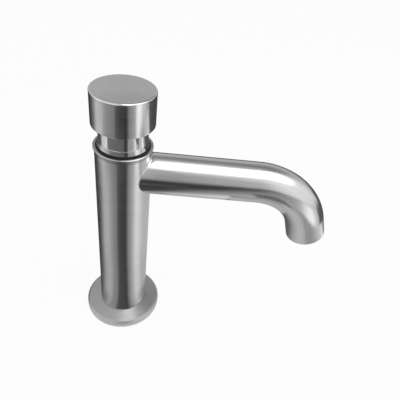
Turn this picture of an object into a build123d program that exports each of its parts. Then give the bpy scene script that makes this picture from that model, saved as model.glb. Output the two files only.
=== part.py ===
from build123d import *
import math
import os

# Push timed tap, in millimetres. The origin is the centre of the base's underside, on the
# column's axis. +Z runs up the column and +X runs out along the spout.

# Fits and shared clearances
cut_over = 2.0
seat_fit = 0.05
slide_fit = 0.05
thread_fit = 0.05
seal_fit = 0.02
edge_break = 0.3

# Column tube
column_radius = 16.0
column_wall = 1.5
rim_top_z = 138.5
column_bore = column_radius - column_wall

# Mouth ring: the threaded ring welded in the column's top
rim_lip = 0.75
rim_width = 1.45
rim_height = 3.0
rim_bevel_foot = 1.8
rim_bevel_top = 0.9
mouth_wall = 1.45
mouth_ledge_width = 1.85
mouth_ledge_thickness = 2.5
seal_recess_depth = 1.2

# Cartridge barrel
barrel_gap = 0.9
barrel_wall = 1.4
barrel_flange_thickness = 2.0
barrel_floor = 5.0
barrel_top_gap = 0.2
barrel_step = 0.6
window_count = 4
window_width = 6.0
window_height = 11.0
window_to_floor = 1.5
window_to_step = 2.0
seat_radius = 5.2
seat_lip_width = 1.0
seat_lip_height = 0.5
gasket_thickness = 0.8

# Bonnet: the polished neck with the stem's gland in its top
bonnet_thread_length = 5.0
neck_step = 0.75
neck_rise = 14.0
neck_bevel_width = 0.65
neck_bevel_height = 2.6
neck_foot_height = 0.25
neck_groove_depth = 0.25
neck_groove_height = 0.35
neck_seal_rise = 0.9
neck_seal_round = 0.8
gland_depth = 4.2
gland_wall = 1.95
gland_web = 1.5
stem_ring_section = 1.78

# Stem, piston and the parts that move with them
stroke = 8.0
stem_radius = 3.0
stem_piston_radius = 2.3
stem_foot_radius = 2.0
stem_tail = 0.5
chamber_height = 2.8
piston_gap = 0.35
piston_overlap = 2.0
piston_clip_thickness = 0.8
piston_clip_width = 1.4
clip_groove_depth = 0.6
lip_seal_width = 1.6
lip_seal_height = 3.5
lip_seal_web = 1.2
lip_wall = 0.5
needle_radius = 0.3
needle_inset = 0.8
needle_gap = 0.15
needle_tip_gap = 0.5

# Return spring
spring_wire = 1.2
spring_gap = 0.9
spring_length = 28.5
spring_turns = 7.0
spring_end_gap = 0.5
spring_seat_thickness = 1.5
seat_hole_count = 6
seat_hole_radius = 1.1
end_turn_share = 1.0
ramp_turn_share = 0.5
ground_share = 0.25

# Valve under the seat
valve_washer_thickness = 2.2
valve_washer_margin = 1.2
valve_cup_wall = 0.8
valve_cup_floor = 2.5
valve_cup_rim = 1.4
valve_nut_height = 2.5
valve_nut_width = 2.0

# Partition between the supply chamber and the spout chamber
partition_height = 6.0
partition_rise = 0.5
nose_ring_section = 1.5

# Push cap and what it snaps onto
cap_gap = 1.45
cap_wall = 2.2
cap_lift = 13.5
cap_roof = 3.0
cap_top_round = 0.8
cap_foot_round = 0.5
hub_height = 7.8
hub_roof = 1.0
stop_gap = 0.2
cap_clip_thickness = 0.8
cap_clip_width = 1.6
cap_clip_from_foot = 2.6
clip_side_gap = 0.3

# Spout
spout_radius = 12.3
spout_wall = 1.3
spout_drop = 5.7
spout_straight = 79.2
spout_bend_radius = 38.3
spout_bend_deg = 71.6
spout_end = 11.1
spout_weld_round = 0.8
spout_mouth_round = 0.4

# Outlet insert and aerator, measured back from the spout's mouth
outlet_recess = 1.2
outlet_ring_wall = 1.4
outlet_ring_length = 8.0
outlet_ledge_width = 1.0
outlet_ledge_thickness = 1.5
housing_wall = 1.3
housing_lip = 0.8
housing_lip_thickness = 1.0
housing_key_count = 4
housing_key_width = 2.0
housing_key_depth = 0.7
screen_thickness = 0.8
screen_hole_radius = 0.75
screen_ring_counts = (6, 12, 18)
screen_edge_share = 0.25
insert_height = 4.0
insert_floor = 1.2
insert_wall = 0.9
insert_hole_radius = 0.6
insert_hole_count = 12
aerator_washer_thickness = 1.2

# Base
gasket_height = 1.6
collar_height = 2.0
collar_width = 5.0
flange_recess_gap = 0.3
flange_rim_width = 4.65
flange_side = 3.4
flange_chamfer_width = 1.35
flange_chamfer_height = 1.55
flange_rise = 1.35
flange_bore_gap = 0.1
flange_ring_section = 1.3
foot_plug_height = 22.4
inlet_radius = 9.3155
inlet_depth = 13.0
inlet_nose_wall = 3.7
filter_pocket_wall = 1.7
filter_pocket_depth = 6.0
inlet_passage_radius = 5.0
regulator_thickness = 3.0
regulator_hole_count = 6
regulator_hole_radius = 1.0
strainer_rim = 1.2
strainer_floor = 0.8
strainer_ring_counts = (6, 12)
strainer_edge_share = 0.1
strainer_hole_radius = 0.8

# Radii worked out from the column inwards
rim_radius = column_radius + rim_lip
recess_radius = rim_radius - rim_width
mouth_thread_radius = column_bore - mouth_wall
ledge_radius = mouth_thread_radius - mouth_ledge_width
barrel_flange_radius = mouth_thread_radius - thread_fit
barrel_radius = ledge_radius - barrel_gap
barrel_bore = barrel_radius - barrel_wall
bonnet_thread_radius = mouth_thread_radius - thread_fit
neck_radius = bonnet_thread_radius + neck_step
neck_foot_radius = neck_radius + neck_bevel_width
gland_radius = stem_radius + gland_wall
needle_place = stem_radius + needle_inset
needle_hole_radius = needle_radius + needle_gap
lip_seal_inner = barrel_bore - lip_seal_width
piston_radius = barrel_bore - piston_gap
spring_mean_radius = barrel_bore - spring_gap - spring_wire / 2
step_bore = barrel_bore - barrel_step
partition_bore = barrel_radius + seat_fit
nose_groove_radius = partition_bore - nose_ring_section - 2 * seal_fit
cap_bore = neck_radius + cap_gap
cap_radius = cap_bore + cap_wall
spout_bore = spout_radius - spout_wall

# Heights worked out from the column's rim
seal_floor_z = rim_top_z - seal_recess_depth
bonnet_foot_z = seal_floor_z - bonnet_thread_length
gasket_top_z = bonnet_foot_z - barrel_flange_thickness
ledge_top_z = gasket_top_z - gasket_thickness
ledge_foot_z = ledge_top_z - mouth_ledge_thickness
column_top_z = rim_top_z - rim_height
neck_foot_z = rim_top_z + neck_seal_rise
neck_top_z = rim_top_z + neck_rise
gland_floor_z = neck_top_z - gland_depth
chamber_top_z = gland_floor_z - gland_web
barrel_top_z = chamber_top_z - barrel_top_gap
piston_top_z = chamber_top_z - chamber_height
piston_height = stroke + piston_overlap
piston_foot_z = piston_top_z - piston_height
spring_foot_z = piston_foot_z - spring_length
step_z = spring_foot_z - spring_seat_thickness
window_top_z = step_z - window_to_step
window_foot_z = window_top_z - window_height
floor_top_z = window_foot_z - window_to_floor
nose_z = floor_top_z - barrel_floor
seat_z = nose_z - seat_lip_height
cup_top_z = seat_z - valve_washer_thickness
cup_foot_z = cup_top_z - valve_cup_floor
stem_foot_z = cup_foot_z - valve_nut_height - stem_tail
partition_top_z = floor_top_z + partition_rise
spout_z = rim_top_z - spout_drop - spout_radius
cap_foot_z = rim_top_z + cap_lift
hub_foot_z = neck_top_z + stroke + stop_gap
hub_top_z = hub_foot_z + hub_height
cap_top_z = hub_top_z + cap_roof
stem_top_z = hub_top_z - hub_roof - seat_fit
cap_clip_z = hub_foot_z + cap_clip_from_foot

# Outlet sizes worked out from the spout's bore
outlet_thread_radius = spout_bore - outlet_ring_wall
housing_radius = outlet_thread_radius - thread_fit
housing_bore = housing_radius - housing_wall
housing_top = outlet_recess + outlet_ring_length - aerator_washer_thickness
screen_foot = outlet_recess + housing_lip_thickness
insert_foot = screen_foot + screen_thickness
outlet_ledge_foot = outlet_recess + outlet_ring_length

# Base sizes worked out from the column and the inlet
collar_radius = column_radius + collar_width
flange_recess_radius = collar_radius + flange_recess_gap
flange_radius = flange_recess_radius + flange_rim_width
flange_bore = column_radius + flange_bore_gap
collar_top_z = gasket_height + collar_height
flange_top_z = flange_side + flange_chamfer_height + flange_rise
nose_radius = inlet_radius + inlet_nose_wall
foot_top_z = collar_top_z + foot_plug_height
filter_pocket_radius = inlet_radius - filter_pocket_wall
filter_pocket_z = inlet_depth + filter_pocket_depth


def turned(points):
    """A solid of revolution about Z from a closed outline of (radius, height) points."""
    outline = make_face(Polyline(*points, close=True))
    return revolve(Plane.XZ * outline, Axis.Z)


def ring(outer, inner, foot, top):
    """A plain washer or tube length between two heights."""
    return turned([(inner, foot), (outer, foot), (outer, top), (inner, top)])


def round_bar(radius, foot, top):
    """A plain cylinder on the Z axis between two heights."""
    return Pos(0, 0, foot) * Cylinder(radius, top - foot, align=(Align.CENTER, Align.CENTER, Align.MIN))


def o_ring(inner, section, middle_z):
    """A round rubber ring whose inner edge lies at the given radius."""
    return Pos(0, 0, middle_z) * Torus(inner + section / 2, section / 2)


def bars_around(radius, place, count, foot, top):
    """Equal upright bars on a circle, for drilling or for pins."""
    bars = []
    for index in range(count):
        bars.append(Rot(0, 0, index * 360 / count) * Pos(place, 0, 0) * round_bar(radius, foot, top))
    return bars


def rings_of_bars(radius, pitch, counts, foot, top):
    """Concentric circles of bars round one in the middle, for a perforated disc."""
    bars = [round_bar(radius, foot, top)]
    for index, count in enumerate(counts):
        bars += bars_around(radius, (index + 1) * pitch, count, foot, top)
    return bars


def split_clip(outer, inner, foot, top, opening):
    """An open retaining ring with its gap towards -X."""
    slot_length = outer + cut_over
    slot = Box(slot_length, opening, top - foot + cut_over)
    return ring(outer, inner, foot, top) - Pos(-slot_length / 2, 0, (foot + top) / 2) * slot


def base_flange():
    """Round foot plate: upright side, chamfer and a slightly coned top, hollow underneath."""
    outer_top_z = flange_side + flange_chamfer_height
    shell = turned([
        (flange_recess_radius, 0),
        (flange_radius, 0),
        (flange_radius, flange_side),
        (flange_radius - flange_chamfer_width, outer_top_z),
        (flange_bore, flange_top_z),
        (flange_bore, collar_top_z),
        (flange_recess_radius, collar_top_z),
    ])
    groove_z = (collar_top_z + flange_top_z) / 2
    groove_half = flange_ring_section / 2 + seat_fit
    groove_radius = column_radius + flange_ring_section + seat_fit
    return shell - ring(groove_radius, column_radius, groove_z - groove_half, groove_z + groove_half)


def flange_o_ring():
    """Rubber ring in the flange's bore that grips the column."""
    return o_ring(column_radius + seal_fit, flange_ring_section, (collar_top_z + flange_top_z) / 2)


def foot_insert():
    """Turned plug welded in the column's foot, with the inlet thread opening downwards."""
    return turned([
        (inlet_radius, 0),
        (nose_radius, 0),
        (nose_radius, gasket_height),
        (collar_radius, gasket_height),
        (collar_radius, collar_top_z),
        (column_bore, collar_top_z),
        (column_bore, foot_top_z),
        (inlet_passage_radius, foot_top_z),
        (inlet_passage_radius, filter_pocket_z),
        (filter_pocket_radius, filter_pocket_z),
        (filter_pocket_radius, inlet_depth),
        (inlet_radius, inlet_depth),
    ])


def base_gasket():
    """Flat rubber ring that the collar presses on the worktop."""
    return ring(collar_radius, nose_radius + seat_fit, 0, gasket_height)


def flow_regulator():
    """Small disc with a ring of orifices, seated at the top of the inlet's pocket."""
    foot_z = filter_pocket_z - regulator_thickness
    disc = round_bar(filter_pocket_radius - seat_fit, foot_z, filter_pocket_z)
    place = inlet_passage_radius - regulator_hole_radius - edge_break
    return disc - bars_around(
        regulator_hole_radius, place, regulator_hole_count, foot_z - cut_over, filter_pocket_z + cut_over
    )


def inlet_strainer():
    """Perforated cup that keeps grit out of the valve, open towards the supply."""
    top_z = filter_pocket_z - regulator_thickness
    floor_z = top_z - strainer_floor
    outer = filter_pocket_radius - seat_fit
    inner = outer - strainer_rim
    cup = round_bar(outer, inlet_depth, top_z)
    cup -= round_bar(inner, inlet_depth - cut_over, floor_z)
    pitch = (inner - strainer_hole_radius) / (len(strainer_ring_counts) + strainer_edge_share)
    holes = rings_of_bars(
        strainer_hole_radius, pitch, strainer_ring_counts, floor_z - cut_over, top_z + cut_over
    )
    return cup - holes


def column_tube():
    """Upright body tube with the opening that feeds the spout."""
    tube = ring(column_radius, column_bore, collar_top_z, column_top_z)
    opening_length = column_radius + cut_over
    opening = Pos(0, 0, spout_z) * extrude(Plane.YZ * Circle(spout_bore), opening_length)
    return tube - opening


def mouth_ring():
    """Threaded ring in the column's mouth, with the proud lip that shows below the neck."""
    bevel_foot_z = rim_top_z - rim_bevel_foot
    bevel_top_z = rim_top_z - rim_bevel_top
    return turned([
        (ledge_radius, ledge_foot_z),
        (column_bore, ledge_foot_z),
        (column_bore, column_top_z),
        (column_radius, column_top_z),
        (column_radius, bevel_foot_z),
        (rim_radius, bevel_top_z),
        (rim_radius, rim_top_z - edge_break),
        (rim_radius - edge_break, rim_top_z),
        (recess_radius, rim_top_z),
        (recess_radius, seal_floor_z),
        (mouth_thread_radius, seal_floor_z),
        (mouth_thread_radius, ledge_top_z),
        (ledge_radius, ledge_top_z),
    ])


def neck_seal():
    """Black rubber ring between the neck's foot and the column's rim."""
    outer = recess_radius - seat_fit
    seal = ring(outer, bonnet_thread_radius + seat_fit, seal_floor_z, neck_foot_z)
    top_edges = seal.edges().filter_by(GeomType.CIRCLE).group_by(Axis.Z)[-1]
    return fillet(top_edges.sort_by(SortBy.RADIUS)[-1], neck_seal_round)


def bonnet():
    """Polished neck: thread below, bevelled foot, upright neck and the stem's gland on top."""
    bevel_foot_z = neck_foot_z + neck_foot_height
    bevel_top_z = neck_foot_z + neck_bevel_height
    groove_top_z = bevel_top_z + neck_groove_height
    body = turned([
        (barrel_radius + seat_fit, bonnet_foot_z),
        (bonnet_thread_radius, bonnet_foot_z),
        (bonnet_thread_radius, neck_foot_z),
        (neck_foot_radius, neck_foot_z),
        (neck_foot_radius, bevel_foot_z),
        (neck_radius, bevel_top_z),
        (neck_radius - neck_groove_depth, bevel_top_z),
        (neck_radius - neck_groove_depth, groove_top_z),
        (neck_radius, groove_top_z),
        (neck_radius, neck_top_z - edge_break),
        (neck_radius - edge_break, neck_top_z),
        (gland_radius, neck_top_z),
        (gland_radius, gland_floor_z),
        (stem_radius + edge_break, gland_floor_z),
        (stem_radius + edge_break, chamber_top_z),
        (barrel_radius + seat_fit, chamber_top_z),
    ])
    needle_hole = round_bar(needle_radius, chamber_top_z - cut_over, gland_floor_z)
    return body - Pos(needle_place, 0, 0) * needle_hole


def stem_o_ring():
    """Rubber ring that seals the stem in the gland."""
    return o_ring(stem_radius + seat_fit, stem_ring_section, gland_floor_z + stem_ring_section / 2)


def stem_bush():
    """Plastic guide bush pressed in the gland over its rubber ring."""
    foot_z = gland_floor_z + stem_ring_section + seal_fit
    return ring(gland_radius, stem_radius + slide_fit, foot_z, neck_top_z)


def bleed_needle():
    """Fixed wire that stays in the piston's bleed hole and keeps it clear."""
    tip_z = piston_foot_z + needle_tip_gap
    return Pos(needle_place, 0, 0) * round_bar(needle_radius, tip_z, gland_floor_z - edge_break)


def barrel():
    """Cartridge body: top flange, cylinder for the piston, windows and the valve seat."""
    groove_foot_z, groove_top_z = nose_groove()
    body = turned([
        (seat_radius, seat_z),
        (seat_radius + seat_lip_width, seat_z),
        (seat_radius + seat_lip_width, nose_z),
        (barrel_radius - edge_break, nose_z),
        (barrel_radius, nose_z + edge_break),
        (barrel_radius, groove_foot_z),
        (nose_groove_radius, groove_foot_z),
        (nose_groove_radius, groove_top_z),
        (barrel_radius, groove_top_z),
        (barrel_radius, gasket_top_z),
        (barrel_flange_radius, gasket_top_z),
        (barrel_flange_radius, bonnet_foot_z),
        (barrel_radius, bonnet_foot_z),
        (barrel_radius, barrel_top_z),
        (barrel_bore, barrel_top_z),
        (barrel_bore, step_z),
        (step_bore, step_z),
        (step_bore, floor_top_z),
        (seat_radius, floor_top_z),
    ])
    from_axis = (Align.MIN, Align.CENTER, Align.MIN)
    window = Box(barrel_radius + cut_over, window_width, window_height, align=from_axis)
    for index in range(window_count):
        body -= Rot(0, 0, index * 360 / window_count) * Pos(0, 0, window_foot_z) * window
    return body


def nose_groove():
    """Lower and upper height of the sealing groove round the barrel's nose."""
    middle_z = nose_z + barrel_floor / 2
    half = nose_ring_section / 2 + seat_fit
    return middle_z - half, middle_z + half


def barrel_o_ring():
    """Rubber ring between the barrel's nose and the partition."""
    return o_ring(nose_groove_radius + seal_fit, nose_ring_section, sum(nose_groove()) / 2)


def barrel_gasket():
    """Flat gasket between the barrel's flange and the mouth ring's ledge."""
    return ring(barrel_flange_radius, ledge_radius, ledge_top_z, gasket_top_z)


def partition():
    """Ring welded across the column that parts the supply from the spout's chamber."""
    foot_z = partition_top_z - partition_height
    return turned([
        (partition_bore, foot_z),
        (column_bore, foot_z),
        (column_bore, partition_top_z),
        (partition_bore + edge_break, partition_top_z),
        (partition_bore, partition_top_z - edge_break),
    ])


def spring_seat():
    """Drilled washer on the barrel's step that carries the spring and guides the stem."""
    disc = ring(barrel_bore - seat_fit, stem_foot_radius + slide_fit, step_z, spring_foot_z)
    place = (stem_foot_radius + step_bore) / 2
    return disc - bars_around(
        seat_hole_radius, place, seat_hole_count, step_z - cut_over, spring_foot_z + cut_over
    )


def ramp_area(turn):
    """Turns gained at full pitch while the pitch ramps up from the closed end."""
    if turn <= 0:
        return 0
    if turn < ramp_turn_share:
        return turn * turn / (2 * ramp_turn_share)
    return turn - ramp_turn_share / 2


def ramp_level(turn):
    """How far the pitch has ramped up, from 0 to 1."""
    return min(max(turn / ramp_turn_share, 0), 1)


def spring_point(turn):
    """Centre of the wire and its direction, a number of turns from the lower end."""
    end_pitch = spring_wire + spring_end_gap
    rise = spring_length - spring_wire + 2 * ground_share * spring_wire
    late = spring_turns - end_turn_share - ramp_turn_share
    open_turns = ramp_area(spring_turns - end_turn_share) - ramp_area(spring_turns - late)
    extra_pitch = (rise - end_pitch * spring_turns) / open_turns
    grown = ramp_area(turn - end_turn_share) - ramp_area(turn - late)
    slope = ramp_level(turn - end_turn_share) - ramp_level(turn - late)
    foot_z = spring_foot_z + spring_wire / 2 - ground_share * spring_wire
    angle = 2 * math.pi * turn
    place = Vector(
        spring_mean_radius * math.cos(angle),
        spring_mean_radius * math.sin(angle),
        foot_z + end_pitch * turn + extra_pitch * grown,
    )
    heading = Vector(
        -2 * math.pi * spring_mean_radius * math.sin(angle),
        2 * math.pi * spring_mean_radius * math.cos(angle),
        end_pitch + extra_pitch * slope,
    )
    return place, heading.normalized()


def biarc(start, start_heading, end, end_heading):
    """Two tangent arcs from one point and heading to another."""
    chord = end - start
    both = start_heading + end_heading
    bend = 2 * (1 - start_heading.dot(end_heading))
    along = chord.dot(both)
    reach = (math.sqrt(along * along + bend * chord.dot(chord)) - along) / bend
    first_corner = start + start_heading * reach
    second_corner = end - end_heading * reach
    middle = (first_corner + second_corner) * 0.5
    middle_heading = (second_corner - first_corner).normalized()
    return [
        TangentArc(start, middle, tangent=start_heading),
        TangentArc(middle, end, tangent=middle_heading),
    ]


def return_spring():
    """Helical spring of round wire with closed, ground ends."""
    steps_per_turn = 4
    steps = round(spring_turns * steps_per_turn)
    stations = [spring_point(index * spring_turns / steps) for index in range(steps + 1)]
    arcs = []
    for first, second in zip(stations, stations[1:]):
        arcs += biarc(*first, *second)
    start, heading = stations[0]
    wire_section = Plane(origin=start, z_dir=heading) * Circle(spring_wire / 2)
    wire = sweep(wire_section, path=Wire(arcs))
    reach = spring_mean_radius + spring_wire + cut_over
    return wire & round_bar(reach, spring_foot_z, piston_foot_z)


def spring_least_gap():
    """Least distance between the spring's own turns, measured on points of its centre line."""
    per_turn = 48
    count = round(spring_turns * per_turn)
    centres = [spring_point(index * spring_turns / count)[0] for index in range(count + 1)]
    least = spring_length
    for index, centre in enumerate(centres):
        for other in centres[index + per_turn // 2:]:
            least = min(least, (centre - other).length)
    return least - spring_wire


def stem():
    """Push rod from the cap to the valve, stepped for the piston and the clips."""
    clip_foot_z = piston_foot_z - piston_clip_thickness
    cap_groove_radius = stem_radius - clip_groove_depth
    piston_groove_radius = stem_piston_radius - clip_groove_depth
    below_clip_z = clip_foot_z - piston_clip_thickness
    return turned([
        (0, stem_foot_z),
        (stem_foot_radius, stem_foot_z),
        (stem_foot_radius, below_clip_z),
        (stem_piston_radius, below_clip_z),
        (stem_piston_radius, clip_foot_z),
        (piston_groove_radius, clip_foot_z),
        (piston_groove_radius, piston_foot_z),
        (stem_piston_radius, piston_foot_z),
        (stem_piston_radius, piston_top_z),
        (stem_radius, piston_top_z),
        (stem_radius, cap_clip_z),
        (cap_groove_radius, cap_clip_z),
        (cap_groove_radius, cap_clip_z + cap_clip_thickness),
        (stem_radius, cap_clip_z + cap_clip_thickness),
        (stem_radius, stem_top_z - edge_break),
        (stem_radius - edge_break, stem_top_z),
        (0, stem_top_z),
    ])


def lip_seal_heights():
    """Lower and upper height of the lip seal's groove in the piston."""
    middle_z = (piston_foot_z + piston_top_z) / 2
    return middle_z - lip_seal_height / 2, middle_z + lip_seal_height / 2


def piston():
    """Timing piston with a groove for its lip seal and a fine bleed hole."""
    groove_foot_z, groove_top_z = lip_seal_heights()
    body = turned([
        (stem_piston_radius, piston_foot_z),
        (piston_radius, piston_foot_z),
        (piston_radius, groove_foot_z),
        (lip_seal_inner, groove_foot_z),
        (lip_seal_inner, groove_top_z),
        (piston_radius, groove_top_z),
        (piston_radius, piston_top_z),
        (stem_piston_radius, piston_top_z),
    ])
    bleed = round_bar(needle_hole_radius, piston_foot_z - cut_over, piston_top_z + cut_over)
    return body - Pos(needle_place, 0, 0) * bleed


def piston_seal():
    """Rubber lip seal that lets water past on the push and holds it on the return."""
    foot_z, top_z = lip_seal_heights()
    outer = barrel_bore - seat_fit
    lip_root_z = foot_z + lip_seal_web
    middle = (lip_seal_inner + outer) / 2
    return turned([
        (lip_seal_inner, foot_z),
        (piston_radius, foot_z),
        (outer, top_z - edge_break),
        (outer, top_z),
        (outer - lip_wall, top_z),
        (middle, lip_root_z),
        (lip_seal_inner + lip_wall, top_z),
        (lip_seal_inner, top_z),
    ])


def piston_clip():
    """Open retaining ring under the piston."""
    inner = stem_piston_radius - clip_groove_depth
    outer = stem_piston_radius + piston_clip_width
    foot_z = piston_foot_z - piston_clip_thickness
    return split_clip(outer, inner, foot_z, piston_foot_z, stem_piston_radius)


def valve_disc():
    """Metal cup on the stem's foot that carries the valve washer."""
    washer_radius = seat_radius + seat_lip_width + valve_washer_margin
    cup_radius = washer_radius + valve_cup_wall
    return turned([
        (stem_foot_radius, cup_foot_z),
        (cup_radius - edge_break, cup_foot_z),
        (cup_radius, cup_foot_z + edge_break),
        (cup_radius, cup_top_z + valve_cup_rim),
        (washer_radius, cup_top_z + valve_cup_rim),
        (washer_radius, cup_top_z),
        (stem_foot_radius, cup_top_z),
    ])


def valve_washer():
    """Rubber washer that closes on the seat's lip."""
    washer_radius = seat_radius + seat_lip_width + valve_washer_margin
    return ring(washer_radius, stem_foot_radius, cup_top_z, seat_z)


def valve_nut():
    """Hexagon nut that holds the valve disc on the stem."""
    across_corners_radius = stem_foot_radius + valve_nut_width
    blank = extrude(RegularPolygon(across_corners_radius, 6), valve_nut_height)
    hole = round_bar(stem_foot_radius, -cut_over, valve_nut_height + cut_over)
    return Pos(0, 0, cup_foot_z - valve_nut_height) * (blank - hole)


def push_cap():
    """Round push button: a deep turned cup with softened rims."""
    cap = turned([
        (cap_bore, cap_foot_z),
        (cap_radius, cap_foot_z),
        (cap_radius, cap_top_z),
        (0, cap_top_z),
        (0, hub_top_z),
        (cap_bore, hub_top_z),
    ])
    rims = cap.edges().filter_by(GeomType.CIRCLE)
    outer_rims = rims.group_by(SortBy.RADIUS)[-1]
    cap = fillet(outer_rims.sort_by(Axis.Z)[-1], cap_top_round)
    rims = cap.edges().filter_by(GeomType.CIRCLE)
    foot_rims = rims.group_by(Axis.Z)[0]
    return fillet(foot_rims.sort_by(SortBy.RADIUS)[-1], cap_foot_round)


def cap_hub():
    """Plug pressed in the cap, with the socket that snaps over the stem's clip."""
    socket_radius = stem_radius + slide_fit
    clip_space = stem_radius + cap_clip_width + clip_side_gap
    groove_foot_z = cap_clip_z - clip_side_gap
    groove_top_z = cap_clip_z + cap_clip_thickness + clip_side_gap
    socket_top_z = hub_top_z - hub_roof
    return turned([
        (socket_radius, hub_foot_z),
        (cap_bore - edge_break, hub_foot_z),
        (cap_bore, hub_foot_z + edge_break),
        (cap_bore, hub_top_z),
        (0, hub_top_z),
        (0, socket_top_z),
        (socket_radius, socket_top_z),
        (socket_radius, groove_top_z),
        (clip_space, groove_top_z),
        (clip_space, groove_foot_z),
        (socket_radius, groove_foot_z),
    ])


def cap_clip():
    """Open spring ring on the stem that keeps the cap on and lets it turn."""
    inner = stem_radius - clip_groove_depth
    outer = stem_radius + cap_clip_width
    return split_clip(outer, inner, cap_clip_z, cap_clip_z + cap_clip_thickness, stem_radius)


def spout_path():
    """Centre line of the spout: straight out, bent down and a short straight end."""
    start = Vector(0, 0, spout_z)
    bend_start = start + Vector(spout_straight, 0, 0)
    turn = math.radians(spout_bend_deg)
    bend_end = bend_start + Vector(
        spout_bend_radius * math.sin(turn), 0, -spout_bend_radius * (1 - math.cos(turn))
    )
    heading = Vector(math.cos(turn), 0, -math.sin(turn))
    mouth = bend_end + heading * spout_end
    path = Wire([
        Line(start, bend_start),
        TangentArc(bend_start, bend_end, tangent=(1, 0, 0)),
        Line(bend_end, mouth),
    ])
    return path, mouth, heading


def spout_tube():
    """Bent tube coped round the column, with the small polished weld at its root."""
    path, mouth, heading = spout_path()
    start_plane = Plane(origin=(0, 0, spout_z), z_dir=(1, 0, 0))
    outside = sweep(start_plane * Circle(spout_radius), path=path)
    bore = sweep(start_plane * Circle(spout_bore), path=path)
    column = round_bar(column_radius, collar_top_z, column_top_z)
    joined = column + outside
    reach = column_radius + spout_weld_round
    roots = joined.edges().filter_by(GeomType.CIRCLE, reverse=True)
    roots = roots.filter_by(GeomType.LINE, reverse=True)
    roots = roots.filter_by(lambda edge: 0 < edge.center().X < reach)
    tube = fillet(roots, spout_weld_round) - column - bore
    mouth_edges = tube.edges().filter_by(GeomType.CIRCLE)
    near_mouth = mouth_edges.sort_by_distance(mouth)[:2]
    return fillet(near_mouth, spout_mouth_round)


def at_mouth(piece):
    """Moves a piece modelled upwards from Z = 0 so that it starts at the spout's mouth."""
    path, mouth, heading = spout_path()
    return Plane(origin=mouth, x_dir=(0, 1, 0), z_dir=-heading) * piece


def outlet_ring():
    """Threaded ring welded in the spout's mouth, with a ledge for the washer."""
    ledge_bore = outlet_thread_radius - outlet_ledge_width
    ledge_top = outlet_ledge_foot + outlet_ledge_thickness
    return at_mouth(turned([
        (outlet_thread_radius, outlet_recess),
        (spout_bore, outlet_recess),
        (spout_bore, ledge_top),
        (ledge_bore, ledge_top),
        (ledge_bore, outlet_ledge_foot),
        (outlet_thread_radius, outlet_ledge_foot),
    ]))


def aerator_housing():
    """Screwed ring that holds the aerator, with key notches in its lower face."""
    lip_bore = housing_bore - housing_lip
    body = turned([
        (lip_bore, outlet_recess),
        (housing_radius, outlet_recess),
        (housing_radius, housing_top),
        (housing_bore, housing_top),
        (housing_bore, screen_foot),
        (lip_bore, screen_foot),
    ])
    outwards = (Align.CENTER, Align.MIN, Align.MIN)
    notch = Box(housing_key_width, housing_radius, housing_key_depth, align=outwards)
    for index in range(housing_key_count):
        turn = Rot(0, 0, index * 360 / housing_key_count)
        body -= turn * Pos(0, housing_bore + housing_wall / 2, outlet_recess) * notch
    return at_mouth(body)


def aerator_screen():
    """Perforated disc that breaks the jet, seated on the housing's lip."""
    disc = round_bar(housing_bore - seat_fit, screen_foot, insert_foot)
    pitches = len(screen_ring_counts) + screen_edge_share
    pitch = (housing_bore - housing_lip - screen_hole_radius) / pitches
    holes = rings_of_bars(
        screen_hole_radius, pitch, screen_ring_counts, screen_foot - cut_over, insert_foot + cut_over
    )
    return at_mouth(disc - holes)


def aerator_insert():
    """Plastic cup over the screen whose drilled floor mixes air into the water."""
    outer = housing_bore - seat_fit
    inner = outer - insert_wall
    top = insert_foot + insert_height
    cup = ring(outer, inner, insert_foot, top) + round_bar(inner, top - insert_floor, top)
    place = inner - insert_hole_radius - insert_wall
    holes = bars_around(insert_hole_radius, place, insert_hole_count, insert_foot, top + cut_over)
    return at_mouth(cup - holes)


def aerator_washer():
    """Rubber washer between the aerator and the outlet ring's ledge."""
    inner = outlet_thread_radius - outlet_ledge_width
    return at_mouth(ring(housing_radius, inner, housing_top, outlet_ledge_foot))


pieces = [
    base_flange,
    flange_o_ring,
    foot_insert,
    base_gasket,
    flow_regulator,
    inlet_strainer,
    column_tube,
    mouth_ring,
    neck_seal,
    bonnet,
    stem_o_ring,
    stem_bush,
    bleed_needle,
    barrel,
    barrel_o_ring,
    barrel_gasket,
    partition,
    spring_seat,
    return_spring,
    stem,
    piston,
    piston_seal,
    piston_clip,
    valve_disc,
    valve_washer,
    valve_nut,
    push_cap,
    cap_hub,
    cap_clip,
    spout_tube,
    outlet_ring,
    aerator_housing,
    aerator_screen,
    aerator_insert,
    aerator_washer,
]

os.makedirs("parts", exist_ok=True)
for piece in pieces:
    export_step(piece(), f"parts/{piece.__name__}.step")
print("least gap between the spring's turns:", round(spring_least_gap(), 3))
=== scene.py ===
import bpy
import bmesh
import math
from mathutils import Matrix, Vector


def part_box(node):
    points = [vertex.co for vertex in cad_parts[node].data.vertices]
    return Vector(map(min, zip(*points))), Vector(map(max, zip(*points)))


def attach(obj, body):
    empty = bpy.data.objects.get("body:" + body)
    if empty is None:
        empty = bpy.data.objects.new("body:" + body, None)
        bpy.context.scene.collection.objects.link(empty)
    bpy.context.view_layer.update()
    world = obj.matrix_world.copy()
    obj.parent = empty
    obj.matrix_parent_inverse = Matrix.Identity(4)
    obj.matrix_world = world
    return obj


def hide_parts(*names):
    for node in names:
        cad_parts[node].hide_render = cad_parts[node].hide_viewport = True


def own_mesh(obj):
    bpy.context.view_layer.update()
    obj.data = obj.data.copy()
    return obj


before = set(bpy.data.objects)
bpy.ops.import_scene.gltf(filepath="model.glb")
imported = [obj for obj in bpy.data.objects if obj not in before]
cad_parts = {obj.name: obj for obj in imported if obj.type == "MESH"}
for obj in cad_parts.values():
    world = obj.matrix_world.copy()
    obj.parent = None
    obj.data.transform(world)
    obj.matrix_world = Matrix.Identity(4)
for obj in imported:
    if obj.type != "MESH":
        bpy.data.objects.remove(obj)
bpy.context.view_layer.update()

MM = 0.001
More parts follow.
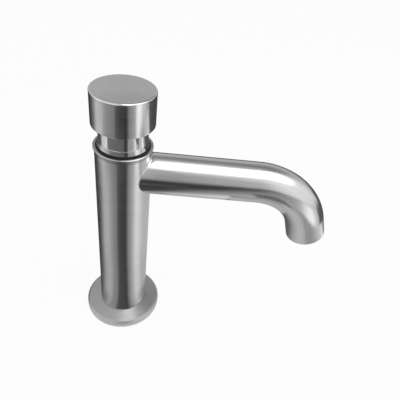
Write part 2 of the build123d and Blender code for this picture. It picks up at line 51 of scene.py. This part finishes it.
full_turn = 2 * math.pi
crisp_edge_deg = 35

# Camera, solved from the photograph's outlines
camera_place = Vector((25.41, -195.50, 265.57)) * MM
camera_target = Vector((46.95, 0.0, 102.93)) * MM
camera_roll_deg = 8.79
camera_clip = 1 * MM
image_focal_px = 412.97
image_px = 400
sensor_mm = 36.0

# The spout's centre line
spout_height = 120.5 * MM
spout_straight = 79.2 * MM
spout_bend_radius = 38.3 * MM
spout_bend_deg = 71.6

# Foot insert with its inlet thread
insert_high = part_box("foot_insert")[1]
insert_radius = insert_high[0]
insert_top = insert_high[2]
insert_nose_radius = 13.0155 * MM
insert_plug_radius = 14.5 * MM
insert_passage_radius = 5.0 * MM
collar_low = 1.6 * MM
collar_high = 3.6 * MM
thread_minor_radius = 9.3155 * MM
thread_major_radius = 10.4775 * MM
thread_pitch = 1.814 * MM
thread_length = 13.0 * MM
pocket_radius = 7.6155 * MM
pocket_top = 19.0 * MM
edge_break = 0.25 * MM
insert_steps = 120
thread_rows_per_turn = 12

# Return spring, wound from one wire with a closed turn at each end
spring_low, spring_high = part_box("return_spring")
spring_foot, spring_top = spring_low[2], spring_high[2]
spring_length = spring_top - spring_foot
spring_wire = 1.2 * MM
spring_mean_radius = 7.4 * MM
spring_turns = 7
spring_closed_turns = 1
spring_ramp_turns = 0.5
spring_closed_pitch = 1.7 * MM
spring_ground_share = 0.25
wire_sides = 14
wire_steps_per_turn = 40
slope_step_turns = 0.01


def add_camera():
    """The photograph's viewpoint, a close camera that leans to one side."""
    data = bpy.data.cameras.new("camera")
    data.sensor_width = sensor_mm
    data.lens = image_focal_px / image_px * sensor_mm
    data.clip_start = camera_clip
    camera = bpy.data.objects.new("camera", data)
    bpy.context.scene.collection.objects.link(camera)
    aim = (camera_target - camera_place).to_track_quat("-Z", "Y").to_matrix()
    roll = Matrix.Rotation(math.radians(camera_roll_deg), 3, "Z")
    camera.matrix_world = Matrix.Translation(camera_place) @ (aim @ roll).to_4x4()
    bpy.context.scene.camera = camera


def grey(level):
    return (level, level, level, 1.0)


class Shade:
    """A node socket that can be used in sums and products."""

    def __init__(self, tree, socket=None):
        self.tree = tree
        self.socket = socket

    def node(self, kind, settings=(), values=(), output=0, stops=()):
        """Adds a node: its settings and any ramp stops first, then its inputs by name or index."""
        made = self.tree.nodes.new(kind)
        for name, value in dict(settings).items():
            setattr(made, name, value)
        for index, (place, level) in enumerate(stops):
            elements = made.color_ramp.elements
            stop = elements[index] if index < 2 else elements.new(place)
            stop.position = place
            stop.color = grey(level)
        for key, value in dict(values).items():
            if isinstance(value, Shade):
                self.tree.links.new(value.socket, made.inputs[key])
            else:
                made.inputs[key].default_value = value
        return Shade(self.tree, made.outputs[output])

    def math(self, operation, first, second=0.0):
        return self.node("ShaderNodeMath", {"operation": operation}, {0: first, 1: second})

    def __add__(self, other):
        return self.math("ADD", self, other)

    def __radd__(self, other):
        return self.math("ADD", other, self)

    def __sub__(self, other):
        return self.math("SUBTRACT", self, other)

    def __rsub__(self, other):
        return self.math("SUBTRACT", other, self)

    def __mul__(self, other):
        return self.math("MULTIPLY", self, other)

    def __rmul__(self, other):
        return self.math("MULTIPLY", other, self)

    def __truediv__(self, other):
        return self.math("DIVIDE", self, other)

    def __rtruediv__(self, other):
        return self.math("DIVIDE", other, self)

    def __abs__(self):
        return self.math("ABSOLUTE", self)

    def diagonal(self, other):
        """The distance that two distances at right angles make."""
        return self.math("SQRT", self * self + other * other)

    def clamp(self, low, high):
        return self.math("MINIMUM", self.math("MAXIMUM", self, low), high)

    def ramp(self, low, high):
        """0 below low, 1 above high, smooth between."""
        return self.node(
            "ShaderNodeMapRange",
            {"interpolation_type": "SMOOTHSTEP", "clamp": True},
            {"Value": self, "From Min": low, "From Max": high},
        )

    def blend(self, low, high):
        """A number between two numbers, by this value."""
        return low + (high - low) * self

    def mix(self, low, high):
        """A colour between two colours, by this value."""
        return self.node("ShaderNodeMix", {"data_type": "RGBA"}, {0: self, 6: low, 7: high}, output=2)

    def place(self):
        """Where on its mesh a ray meets the surface."""
        return self.node("ShaderNodeTexCoord", output="Object")

    def axes(self):
        """The three numbers of a place."""
        parts = self.node("ShaderNodeSeparateXYZ", {}, {0: self})
        return [Shade(self.tree, out) for out in parts.socket.node.outputs]


# Brushed steel: how fine its marks are per metre, and how marks, patches and rubbed edges show
steel_level = 0.70
fine_marks = 2600
broad_marks = 170
marks_round = 60
mark_ramp = (0.25, 0.75)
mark_share = 0.6
dark_level_share = 0.88
pale_level_share = 1.09
rubbed_level_share = 1.15
plain_rough_share = 0.70
mark_rough_share = 0.36
patch_rough_share = 0.24
rubbed_smooth_share = 0.4
wear_core = 0.15 * MM
wear_reach = 0.8 * MM
wear_plain_share = 0.4
wear_patch_share = 0.9
mark_relief = 0.3
mark_depth = 0.012 * MM


class Finish:
    """A material under construction, with its surface coordinates and its shader."""

    def __init__(self, name):
        self.material = bpy.data.materials.new(name)
        self.material.use_nodes = True
        self.tree = self.material.node_tree
        self.shader = self.tree.nodes["Principled BSDF"]
        self.base = Shade(self.tree)
        self.place = self.base.place()
        self.x, self.y, self.z = self.place.axes()

    def set(self, **values):
        """Sets or links the shader's sockets by name, with _ for a blank."""
        for key, value in values.items():
            socket = self.shader.inputs[key.replace("_", " ")]
            if isinstance(value, Shade):
                self.tree.links.new(value.socket, socket)
            else:
                socket.default_value = value
        return self

    def linked(self, name):
        """What one of the shader's sockets is linked to."""
        return Shade(self.tree, self.shader.inputs[name].links[0].from_socket)

    def point(self, x, y, z):
        """A texture coordinate from three values."""
        return self.base.node("ShaderNodeCombineXYZ", {}, {0: x, 1: y, 2: z})

    def noise(self, where, scale=1.0, detail=3.0, roughness=0.5):
        return self.base.node(
            "ShaderNodeTexNoise",
            {},
            {"Vector": where, "Scale": scale, "Detail": detail, "Roughness": roughness},
        )

    def bump(self, height, strength, depth):
        """Relief from a height value of 0 to 1."""
        relief = self.base.node(
            "ShaderNodeBump",
            {},
            {"Height": height, "Strength": strength, "Distance": depth},
        )
        return self.set(Normal=relief)

    def radius(self):
        """Distance from the Z axis."""
        return self.x.diagonal(self.y)

    def lines_round(self, per_metre, detail=4.0):
        """Marks drawn out round the Z axis, on upright and on flat faces alike."""
        across = (self.z + self.radius()) * per_metre
        where = self.point(self.x * marks_round, self.y * marks_round, across)
        return self.noise(where, detail=detail, roughness=0.65)

    def steel(self, level, rough, lines, broad, wear=0.0):
        """Brushed stainless steel from its marks, its cloudy unevenness and its rubbed edges."""
        drawn = lines.ramp(*mark_ramp)
        marks = (drawn * mark_share + broad * (1 - mark_share)).mix(
            grey(level * dark_level_share), grey(level * pale_level_share)
        )
        if isinstance(wear, Shade):
            marks = wear.mix(marks, grey(level * rubbed_level_share))
        uneven = plain_rough_share + drawn * mark_rough_share + broad * patch_rough_share
        return self.set(
            Base_Color=marks,
            Roughness=rough * uneven * (1 - wear * rubbed_smooth_share),
            Metallic=1.0,
        )

    def wear_round(self, circles):
        """Where hands and cloths rub: bands along circular edges, given by radius and height."""
        wear = 0.0
        for circle_radius, height in circles:
            away = (self.radius() - circle_radius).diagonal(self.z - height)
            wear = self.base.math("MAXIMUM", 1 - away.ramp(wear_core, wear_reach), wear)
        return wear


def edge_circles(node):
    """The outer rims of a round node about the Z axis, from its box."""
    low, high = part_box(node)
    return [(high[1], high[2]), (high[1], low[2])]


def brushed_round(name, level, rough, aniso, circles=()):
    """Steel brushed on a lathe: fine lines that run round the Z axis."""
    finish = Finish(name)
    lines = finish.lines_round(fine_marks)
    broad = finish.lines_round(broad_marks, detail=2.0)
    wear = finish.wear_round(circles) * (wear_plain_share + broad * wear_patch_share)
    finish.steel(level, rough, lines, broad, wear)
    finish.set(Anisotropic=aniso, Anisotropic_Rotation=0.25)
    return finish.bump(lines, mark_relief, mark_depth)


def brushed_cap(name, level, rough, aniso, circles):
    """The push cap's steel: brushed round, with the faint smears that fingers leave."""
    smear_ramp = (0.52, 0.72)
    smear_rough = 0.035
    finish = brushed_round(name, level, rough, aniso, circles)
    smear = finish.noise(finish.place, scale=75.0, detail=4.0, roughness=0.6).ramp(*smear_ramp)
    return finish.set(Roughness=finish.linked("Roughness") + smear * smear_rough)


def brushed_along(name, level, rough):
    """The spout's steel: long polishing marks that follow the tube round its bend."""
    finish = Finish(name)
    along_x = finish.x - spout_straight
    up = finish.z - (spout_height - spout_bend_radius)
    turned = finish.base.math("ARCTAN2", along_x, up).clamp(0.0, math.radians(spout_bend_deg))
    sine = finish.base.math("SINE", turned)
    cosine = finish.base.math("COSINE", turned)
    aside = along_x * sine + up * cosine - spout_bend_radius
    along = turned * spout_bend_radius + along_x * cosine - up * sine

    def marks(per_metre_across, per_metre_along, detail, roughness):
        where = finish.point(
            finish.y * per_metre_across, aside * per_metre_across, along * per_metre_along
        )
        return finish.noise(where, detail=detail, roughness=roughness)

    lines = marks(per_metre_across=1500, per_metre_along=30, detail=4.0, roughness=0.6)
    broad = marks(per_metre_across=190, per_metre_along=18, detail=2.0, roughness=0.5)
    finish.steel(level, rough, lines, broad)
    return finish.bump(lines, mark_relief, mark_depth)


def polished(name, level, rough):
    """Turned and polished metal with a trace of its tool lines and haze."""
    hazy_level_share = 0.96
    clean_rough_share = 0.6
    haze_rough_share = 0.4
    line_rough_share = 0.4
    finish = Finish(name)
    haze = finish.noise(finish.place, scale=260.0, detail=4.0, roughness=0.6)
    lines = finish.lines_round(per_metre=2200)
    uneven = clean_rough_share + haze * haze_rough_share + lines * line_rough_share
    finish.set(
        Base_Color=haze.mix(grey(level * hazy_level_share), grey(level)),
        Roughness=rough * uneven,
        Metallic=1.0,
    )
    return finish.bump(lines, strength=0.05, depth=0.01 * MM)


def rubber(name):
    """Black moulded rubber, slightly dusty."""
    clean_level = 0.006
    dusty_level = 0.018
    finish = Finish(name)
    grain = finish.noise(finish.place, scale=2500.0)
    dust = finish.noise(finish.place, scale=300.0, detail=2.0)
    finish.set(
        Base_Color=dust.mix(grey(clean_level), grey(dusty_level)),
        Roughness=grain.blend(0.50, 0.70),
        Specular_IOR_Level=0.22,
    )
    return finish.bump(grain, strength=0.2, depth=0.03 * MM)


def plastic(name):
    """Natural white engineering plastic."""
    clouded_colour = (0.7332, 0.7332, 0.7020, 1)
    clear_colour = (0.7800, 0.7800, 0.7566, 1)
    finish = Finish(name)
    grain = finish.noise(finish.place, scale=1800.0)
    cloud = finish.noise(finish.place, scale=120.0, detail=2.0)
    finish.set(
        Base_Color=cloud.mix(clouded_colour, clear_colour),
        Roughness=grain.blend(0.38, 0.53),
    )
    return finish.bump(grain, strength=0.15, depth=0.02 * MM)


def brass(name):
    """Bare turned brass with fine tool lines."""
    dull_colour = (0.55, 0.38, 0.15, 1)
    bright_colour = (0.72, 0.53, 0.24, 1)
    finish = Finish(name)
    lines = finish.lines_round(per_metre=1800, detail=3.0)
    finish.set(
        Base_Color=lines.mix(dull_colour, bright_colour),
        Roughness=lines.blend(0.22, 0.42),
        Metallic=1.0,
    )
    return finish.bump(lines, strength=0.15, depth=0.02 * MM)


rim_edges = edge_circles("mouth_ring")
cap_edges = edge_circles("push_cap")
foot_edges = edge_circles("base_flange")

finishes = {
    "column": brushed_round("column_steel", steel_level, rough=0.20, aniso=0.85, circles=rim_edges),
    "rim": brushed_round("rim_steel", level=0.48, rough=0.30, aniso=0.5, circles=rim_edges),
    "cap": brushed_cap("cap_steel", steel_level, rough=0.17, aniso=0.85, circles=cap_edges),
    "foot": brushed_round("foot_steel", level=0.52, rough=0.42, aniso=0.5, circles=foot_edges),
    "spout": brushed_along("spout_steel", steel_level, rough=0.20),
    "neck": polished("neck_polish", level=0.74, rough=0.07),
    "turned": brushed_round("turned_steel", level=0.55, rough=0.28, aniso=0.4),
    "plated": polished("plated_metal", level=0.70, rough=0.14),
    "rubber": rubber("black_rubber"),
    "plastic": plastic("white_plastic"),
    "brass": brass("turned_brass"),
}

node_finish = {
    "column": ["column_tube"],
    "rim": ["mouth_ring"],
    "cap": ["push_cap"],
    "foot": ["base_flange"],
    "spout": ["spout_tube"],
    "neck": ["bonnet"],
    "turned": [
        "foot_insert", "partition", "outlet_ring", "stem", "valve_disc", "valve_nut", "spring_seat",
        "bleed_needle", "piston_clip", "cap_clip", "inlet_strainer", "return_spring",
    ],
    "plated": ["aerator_housing"],
    "rubber": [
        "neck_seal", "base_gasket", "flange_o_ring", "stem_o_ring", "barrel_o_ring", "barrel_gasket",
        "piston_seal", "valve_washer", "aerator_washer",
    ],
    "plastic": ["stem_bush", "piston", "flow_regulator", "aerator_insert", "aerator_screen"],
    "brass": ["barrel", "cap_hub"],
}


def finish_nodes():
    """Gives every carried-over node its material."""
    for key, nodes in node_finish.items():
        for node in nodes:
            thing = bpy.data.objects[node]
            thing.data.materials.clear()
            thing.data.materials.append(finishes[key].material)


def new_mesh(name, points, faces):
    mesh = bpy.data.meshes.new(name)
    mesh.from_pydata(points, [], faces)
    return mesh


def add_mesh(name, mesh, material):
    """A new thing in the scene, from a mesh and its material."""
    mesh.materials.append(material)
    thing = bpy.data.objects.new(name, mesh)
    bpy.context.scene.collection.objects.link(thing)
    return thing


def made_piece(name, points, faces, material):
    """A smooth mesh with crisp edges, added to the picture."""
    mesh = new_mesh(name, points, faces)
    cleaned = bmesh.new()
    cleaned.from_mesh(mesh)
    bmesh.ops.recalc_face_normals(cleaned, faces=cleaned.faces)
    cleaned.to_mesh(mesh)
    cleaned.free()
    mesh.shade_smooth()
    mesh.set_sharp_from_angle(angle=math.radians(crisp_edge_deg))
    return add_mesh(name, mesh, material)


def band_faces(rows, steps, closed=False):
    """Faces between rows of points, and from the last row to the first where they are closed."""
    faces = []
    for row in range(rows if closed else rows - 1):
        here, there = row * steps, (row + 1) % rows * steps
        for step in range(steps):
            after = (step + 1) % steps
            faces.append((here + step, here + after, there + after, there + step))
    return faces


def thread_cut(height, angle):
    """How deep the inlet thread is at a place on the bore, from 0 at its crest to 1 at its root."""
    turns = height / thread_pitch - angle / full_turn
    rise = 1 - abs(2 * (turns - math.floor(turns)) - 1)
    fade = min(max((thread_length - height) / thread_pitch, 0), 1)
    return fade * rise * rise * (3 - 2 * rise)


def threaded_insert():
    """The foot's turned plug with the turns of its inlet thread cut in the bore."""
    depth = thread_major_radius - thread_minor_radius
    outline = [
        (insert_nose_radius - edge_break, 0),
        (insert_nose_radius, edge_break),
        (insert_nose_radius, collar_low),
        (insert_radius - edge_break, collar_low),
        (insert_radius, collar_low + edge_break),
        (insert_radius, collar_high),
        (insert_plug_radius, collar_high),
        (insert_plug_radius, insert_top),
        (insert_passage_radius, insert_top),
        (insert_passage_radius, pocket_top),
        (pocket_radius, pocket_top),
        (pocket_radius, thread_length),
    ]
    rows = [(radius, height, 0) for radius, height in outline]
    count = round(thread_length / thread_pitch * thread_rows_per_turn)
    rows += [(thread_minor_radius, thread_length * (count - k) / count, depth) for k in range(count)]
    rows.append((thread_major_radius + edge_break, 0, 0))
    points = []
    for radius, height, cut in rows:
        for step in range(insert_steps):
            angle = full_turn * step / insert_steps
            reach = radius + cut * thread_cut(height, angle)
            points.append((reach * math.cos(angle), reach * math.sin(angle), height))
    faces = band_faces(len(rows), insert_steps, closed=True)
    piece = made_piece("foot_insert_threaded", points, faces, finishes["turned"].material)
    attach(piece, "tap_body")
    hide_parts("foot_insert")


def ramped_turns(turn):
    """Turns gained at full pitch, a number of turns after the pitch starts to rise."""
    if turn <= 0:
        return 0
    if turn < spring_ramp_turns:
        return turn * turn / (2 * spring_ramp_turns)
    return turn - spring_ramp_turns / 2


def open_turns(turn):
    """Turns gained at the open pitch, up to a number of turns along the wire."""
    closes_at = spring_turns - spring_closed_turns - spring_ramp_turns
    return ramped_turns(turn - spring_closed_turns) - ramped_turns(turn - closes_at)


def spring_height(turn):
    """Height of the wire's centre above the spring's foot, closed at both ends and open between."""
    ground = spring_ground_share * spring_wire
    rise = spring_length - spring_wire + 2 * ground
    extra_pitch = (rise - spring_closed_pitch * spring_turns) / open_turns(spring_turns)
    return spring_wire / 2 - ground + spring_closed_pitch * turn + extra_pitch * open_turns(turn)


def wire_ring(turn):
    """Points round the spring's wire, a number of turns from its foot, ground flat at both ends."""
    angle = full_turn * turn
    out = Vector((math.cos(angle), math.sin(angle), 0))
    centre = out * spring_mean_radius
    centre.z = spring_foot + spring_height(turn)
    before, after = spring_height(turn - slope_step_turns), spring_height(turn + slope_step_turns)
    climb_per_turn = (after - before) / (2 * slope_step_turns)
    slope = climb_per_turn / (full_turn * spring_mean_radius)
    along = Vector((-math.sin(angle), math.cos(angle), slope))
    side = along.normalized().cross(out)
    points = []
    for step in range(wire_sides):
        tilt = full_turn * step / wire_sides
        point = centre + (out * math.cos(tilt) + side * math.sin(tilt)) * (spring_wire / 2)
        points.append((point.x, point.y, min(max(point.z, spring_foot), spring_top)))
    return points


def yielding_spring():
    """The return spring as one wound wire, with its closed turns at both ends."""
    rings = round(spring_turns * wire_steps_per_turn) + 1
    points = []
    for index in range(rings):
        points += wire_ring(index / wire_steps_per_turn)
    faces = band_faces(rings, wire_sides)
    faces.append(tuple(reversed(range(wire_sides))))
    faces.append(tuple(range((rings - 1) * wire_sides, rings * wire_sides)))
    piece = made_piece("return_spring_wire", points, faces, finishes["turned"].material)
    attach(piece, "tap_body")
    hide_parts("return_spring")
    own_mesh(piece)


# Studio: the floor's own paleness, how far it shows as plain white, and the light all round
floor_level = 0.9
floor_white_share = 0.95
floor_half = 3.0
floor_z = -0.05 * MM
world_level = 0.5
tent_radius = 1200 * MM
ring_steps = 96
disc_steps = 64
dome_steps = 64
dome_rows = 32

# Cards round the foot, by their distance from it: for the foot, the column, the neck and the cap
card_foot = 45 * MM
card_column = 85 * MM
card_neck = 215 * MM
card_cap = 257 * MM
card_edge_half = 2 * MM
card_height = 0.3 * MM

# Painted shade: a sheet of card laid just over the foot plate and seen only in the metal, which
# darkens the column's foot where it meets the foot plate; where the sheet starts, and how much darker
# it is away from the camera
shade_sheet_top_radius = 16.3 * MM
shade_sheet_top_height = 6.65 * MM
shade_sheet_edge_radius = 24.8 * MM
shade_sheet_edge_height = 5.35 * MM
shade_sheet_foot_radius = 30.0 * MM
shade_sheet_plain_share = 0.10
shade_sheet_dim_share = 0.20
painted_shade_share = 0.55

# The cards' levels, as the metal sees them. Bearings are in degrees from the camera's side round to
# the right, as seen from above, each with how bright the card is there.
camera_bearing_deg = -82.6
foot_cards = (
    (-180, 0.05), (-112, 0.07), (-98, 0.15), (-84, 0.34), (-68, 0.52), (-52, 0.52), (-38, 0.32),
    (-24, 0.27), (-17, 0.09), (14, 0.06), (20, 0.20), (30, 0.38), (38, 0.50), (53, 0.80), (66, 0.78),
    (84, 0.56), (110, 0.52), (180, 0.55),
)
column_cards = (
    (-180, 0.07), (-138, 0.04), (-113, 0.08), (-101, 0.22), (-91, 0.42), (-80, 0.57), (-66, 0.57),
    (-52, 0.42), (-40, 0.30), (-29, 0.27), (-22, 0.09), (-8, 0.06), (9, 0.05), (13, 0.10), (19, 0.28),
    (30, 0.40), (39, 0.56), (50, 0.85), (60, 0.94), (72, 0.80), (86, 0.66), (110, 0.60), (180, 0.60),
)
neck_cards = (
    (-180, 0.06), (-118, 0.10), (-104, 0.70), (-75, 0.90), (-72, 0.20), (-30, 0.16), (1, 0.15),
    (4, 0.06), (17, 0.06), (20, 0.36), (44, 0.46), (50, 0.90), (84, 0.85), (88, 0.45), (94, 0.42),
    (98, 1.0), (105, 1.0), (109, 0.12), (180, 0.08),
)
cap_cards = (
    (-180, 0.02), (-150, 0.02), (-134, 0.08), (-118, 0.20), (-110, 0.34), (-102, 0.58), (-94, 0.68),
    (-80, 0.60), (-66, 0.46), (-56, 0.35), (-42, 0.30), (-29, 0.26), (-26, 0.09), (-8, 0.04),
    (12, 0.03), (14, 0.20), (26, 0.33), (39, 0.47), (42, 0.90), (49, 1.30), (60, 1.22), (65, 0.84),
    (77, 0.70), (81, 0.12), (110, 0.08), (180, 0.07),
)

# Three small cards that hang under the spout: a disc under its outlet, with levels by bearing, and
# two level rectangles by their left, right, front and back edges, with levels from front to back
outlet_middle = 119 * MM
outlet_card_radius = 52 * MM
outlet_card_height = 77 * MM
outlet_cards = (
    (-180, 0.12), (-100, 0.14), (-84, 0.26), (-64, 0.46), (-46, 0.60), (-30, 0.62), (-18, 0.54),
    (-6, 0.42), (6, 0.36), (20, 0.38), (36, 0.50), (50, 0.62), (68, 0.80), (84, 1.05), (96, 0.30),
    (112, 0.18), (180, 0.16),
)
flat_card_height = 95 * MM
strip_edges = (66 * MM, 98 * MM, -26 * MM, 8 * MM)
strip_levels = ((0, 0.34), (0.2, 0.46), (0.36, 0.56), (0.65, 0.54), (1, 0.44))
bend_edges = (84 * MM, 106 * MM, -50 * MM, -26 * MM)
bend_levels = ((0, 0.15), (0.8, 0.16), (1, 0.26))

# The tent's levels by height in degrees: behind the tap, in front of it, to its right and its left
tent_back_levels = (
    (0, 0.50), (18, 0.62), (30, 0.60), (38, 0.36), (52, 0.27), (62, 0.36), (72, 0.80), (90, 1.2),
)
tent_front_levels = (
    (0, 0.35), (10, 0.42), (32, 0.43), (41, 0.50), (51, 0.54), (60, 0.8), (90, 1.3),
)
tent_right_levels = ((0, 1.10), (40, 1.15), (60, 1.30), (90, 1.30))
tent_left_levels = ((0, 0.50), (12, 0.70), (20, 1.0), (46, 1.0), (56, 0.62), (90, 0.75))

# The bearings of the tent's sides, each with how far from it the side starts and ends to fade
tent_front_deg = 0
tent_front_fade = (70, 120)
tent_right_deg = 65
tent_right_fade = (20, 60)
tent_left_deg = -62
tent_left_fade = (42, 56)
tent_corner_deg = -150
tent_corner_fade = (12, 26)
tent_corner_rise_shares = (0.30, 0.42)
tent_corner_level = 0.62

# The tent's foot, which carries on from the cards, and how the tent's sides differ in brightness
tent_low_deg = 4.5
tent_high_deg = 7.0
tent_right_dim_share = 0.15
front_per_degree = 0.03
front_least = 0.7
front_most = 1.8

# The lamp overhead, which looks straight down
lamp_place = Vector((490, -122, 750)) * MM
lamp_target = Vector((490, -122, 0)) * MM
lamp_width = 1020 * MM
lamp_depth = 514 * MM
lamp_level = 1.32


def stage_material(name, shader):
    """A studio material, whose shader is made by a function in the material's nodes."""
    material = bpy.data.materials.new(name)
    material.use_nodes = True
    tree = material.node_tree
    tree.nodes.clear()
    out = tree.nodes.new("ShaderNodeOutputMaterial")
    tree.links.new(shader(Shade(tree)).socket, out.inputs["Surface"])
    return material


def stage_thing(name, mesh, material):
    """A thing that belongs to the studio and not to the tap."""
    thing = add_mesh(name, mesh, material)
    return thing


def stage_card(name, mesh, shader):
    """A studio card that shows in the metal and neither in the picture nor in the diffuse light."""
    card = stage_thing(name, mesh, stage_material(name, shader))
    card.visible_camera = False
    card.visible_diffuse = False
    card.visible_shadow = False
    card.visible_transmission = False


def rectangle(name, left, right, front, back, height):
    """A level rectangle that faces up."""
    corners = [(left, front), (right, front), (right, back), (left, back)]
    return new_mesh(name, [(across, along, height) for across, along in corners], [(0, 1, 2, 3)])


def circle_points(radius, height, steps, centre_x=0.0):
    """Points round an upright axis."""
    angles = [full_turn * step / steps for step in range(steps)]
    return [(centre_x + radius * math.cos(turn), radius * math.sin(turn), height) for turn in angles]


def glow(base, level):
    """Card or cloth that is as bright as a level."""
    return base.node("ShaderNodeEmission", {}, {"Color": level, "Strength": 1.0})


def seen_ray(base):
    """1 for rays that the camera, the metal or clear plastic sees, else 0."""
    seen = 0.0
    for kind in ("Camera", "Glossy", "Transmission"):
        seen = base.math("MAXIMUM", base.node("ShaderNodeLightPath", output=f"Is {kind} Ray"), seen)
    return seen


def clear_from_below(base, shader):
    """A surface that is there only when it is met from above."""
    from_below = base.node("ShaderNodeNewGeometry", output="Backfacing")
    clear = base.node("ShaderNodeBsdfTransparent")
    return base.node("ShaderNodeMixShader", {}, {0: from_below, 1: shader, 2: clear})


def bearing_of(base, x, y):
    """The bearing of a direction, from 0 to 1 for -180 to 180 degrees round from the camera's side."""
    turn = math.radians(camera_bearing_deg)
    along = x * math.cos(turn) + y * math.sin(turn)
    aside = y * math.cos(turn) - x * math.sin(turn)
    return base.math("ARCTAN2", aside, along) / full_turn + 0.5


def levels_at(base, share, levels, first=0, last=1):
    """The level at a share of the way from the first place to the last, from places and levels."""
    placed = [((place - first) / (last - first), level) for place, level in levels]
    return base.node("ShaderNodeValToRGB", {}, {0: share}, stops=placed)


def card_levels(base, share, cards):
    """The level at a bearing, from a list of cards."""
    return levels_at(base, share, cards, first=-180, last=180)


def near(bearing, middle_deg, fade):
    """1 close to a bearing and 0 far from it, by the distances where it starts and ends to fade."""
    return 1 - abs(bearing - middle_deg).ramp(*fade)


def floor_cloth(base):
    """White that renders as white to the camera and in the metal, and still takes a shadow."""
    cloth = base.node("ShaderNodeBsdfDiffuse", {}, {"Color": grey(floor_level)})
    white = seen_ray(base) * floor_white_share
    both = base.node("ShaderNodeMixShader", {}, {0: white, 1: cloth, 2: glow(base, grey(1.0))})
    return clear_from_below(base, both)


def ring_shader(base):
    """The cards round the foot, zone by zone outwards, with painted shade on the sheet over the foot
    plate, which is dimmer away from the camera.
    """
    x, y = base.place().axes()[:2]
    share = bearing_of(base, x, y)
    radius = x.diagonal(y)
    zones = (
        (card_foot, card_column, column_cards),
        (card_neck - card_edge_half, card_neck + card_edge_half, neck_cards),
        (card_cap - card_edge_half, card_cap + card_edge_half, cap_cards),
    )
    level = card_levels(base, share, foot_cards)
    for starts, full, cards in zones:
        level = radius.ramp(starts, full).mix(level, card_levels(base, share, cards))
    # Painted shade: close to the column the card over the foot plate is dimmed away from the camera,
    # so the column's foot reflects shade
    aside = abs(share - 0.5).ramp(shade_sheet_plain_share, shade_sheet_dim_share)
    close = 1 - radius.ramp(shade_sheet_edge_radius, shade_sheet_foot_radius)
    return clear_from_below(base, glow(base, level * (1 - close * aside * painted_shade_share)))


def card_ring():
    """Grey cards laid round the foot, which give the metal its upright bands, and a sheet over the
    foot plate that paints shade into the column's foot.
    """
    profile = (
        (tent_radius, card_height),
        # The sheet over the foot plate, which paints shade into the column's foot
        (shade_sheet_foot_radius, card_height),
        (shade_sheet_edge_radius, shade_sheet_edge_height),
        (shade_sheet_top_radius, shade_sheet_top_height),
    )
    points = []
    for radius, height in profile:
        points += circle_points(radius, height, ring_steps)
    mesh = new_mesh("card_ring", points, band_faces(len(profile), ring_steps))
    stage_card("card_ring", mesh, ring_shader)


def outlet_card():
    """A disc under the outlet, with its levels by bearing round the outlet's middle."""
    def shader(base):
        x, y = base.place().axes()[:2]
        share = bearing_of(base, x - outlet_middle, y)
        return glow(base, card_levels(base, share, outlet_cards))

    points = circle_points(outlet_card_radius, outlet_card_height, disc_steps, outlet_middle)
    stage_card("outlet_card", new_mesh("outlet_card", points, [tuple(range(disc_steps))]), shader)


def flat_card(name, edges, levels):
    """A level rectangle under the spout, with its levels from front to back."""
    left, right, front, back = edges

    def shader(base):
        y = base.place().axes()[1]
        return glow(base, levels_at(base, (y - front) / (back - front), levels))

    stage_card(name, rectangle(name, left, right, front, back, flat_card_height), shader)


def tent_shader(base):
    """The tent's levels from side to side and upwards, and the neck's cards along its foot."""
    x, y, z = base.place().axes()
    share = bearing_of(base, x, y)
    bearing = (share - 0.5) * 360
    height = base.math("ARCSINE", z / tent_radius) / (math.pi / 2)
    tables = (tent_back_levels, tent_front_levels, tent_right_levels, tent_left_levels)
    back, front, right, left = [levels_at(base, height, table, last=90) for table in tables]
    front = front * (1 + bearing * front_per_degree).clamp(front_least, front_most)
    level = near(bearing, tent_front_deg, tent_front_fade).mix(back, front)
    level = near(bearing, tent_right_deg, tent_right_fade).mix(level, right)
    level = near(bearing, tent_left_deg, tent_left_fade).mix(level, left)
    corner = near(bearing, tent_corner_deg, tent_corner_fade) * height.ramp(*tent_corner_rise_shares)
    level = corner.mix(level, grey(tent_corner_level))
    raised = height.ramp(tent_low_deg / 90, tent_high_deg / 90)
    level = raised.mix(card_levels(base, share, neck_cards), level)
    to_right = base.math("SINE", share * full_turn + math.pi)
    return glow(base, level * (1 - to_right * tent_right_dim_share))


def tent():
    """A half dome of paler and darker cloth over the tap."""
    dome = bmesh.new()
    bmesh.ops.create_uvsphere(dome, u_segments=dome_steps, v_segments=dome_rows, radius=tent_radius)
    below = [vert for vert in dome.verts if vert.co.z < -MM]
    bmesh.ops.delete(dome, geom=below, context="VERTS")
    mesh = bpy.data.meshes.new("tent")
    dome.to_mesh(mesh)
    dome.free()
    stage_card("tent", mesh, tent_shader)


def add_world():
    """Plain white to the camera and in the metal, and a dimmer light all round."""
    world = bpy.data.worlds.new("studio")
    bpy.context.scene.world = world
    world.use_nodes = True
    background = world.node_tree.nodes["Background"]
    background.inputs["Color"].default_value = grey(1.0)
    strength = seen_ray(Shade(world.node_tree)).blend(world_level, 1.0)
    world.node_tree.links.new(strength.socket, background.inputs["Strength"])


def add_stage():
    """Pale floor, plain white world, and what the metal reflects."""
    floor = rectangle("floor", -floor_half, floor_half, -floor_half, floor_half, floor_z)
    stage_thing("floor", floor, stage_material("floor_cloth", floor_cloth))
    card_ring()
    outlet_card()
    flat_card("strip_card", strip_edges, strip_levels)
    flat_card("bend_card", bend_edges, bend_levels)
    tent()
    add_world()


def add_lamp():
    """A soft lamp overhead, as bright as a card of its level would be."""
    data = bpy.data.lights.new("overhead", "AREA")
    data.shape = "RECTANGLE"
    data.size = lamp_width
    data.size_y = lamp_depth
    data.energy = lamp_level * math.pi * lamp_width * lamp_depth
    lamp = bpy.data.objects.new("overhead", data)
    bpy.context.scene.collection.objects.link(lamp)
    aim = (lamp_target - lamp_place).to_track_quat("-Z", "Y").to_matrix()
    lamp.matrix_world = Matrix.Translation(lamp_place) @ aim.to_4x4()


add_camera()
finish_nodes()
threaded_insert()
yielding_spring()
add_stage()
add_lamp()

bpy.context.scene.view_settings.view_transform = "Standard"
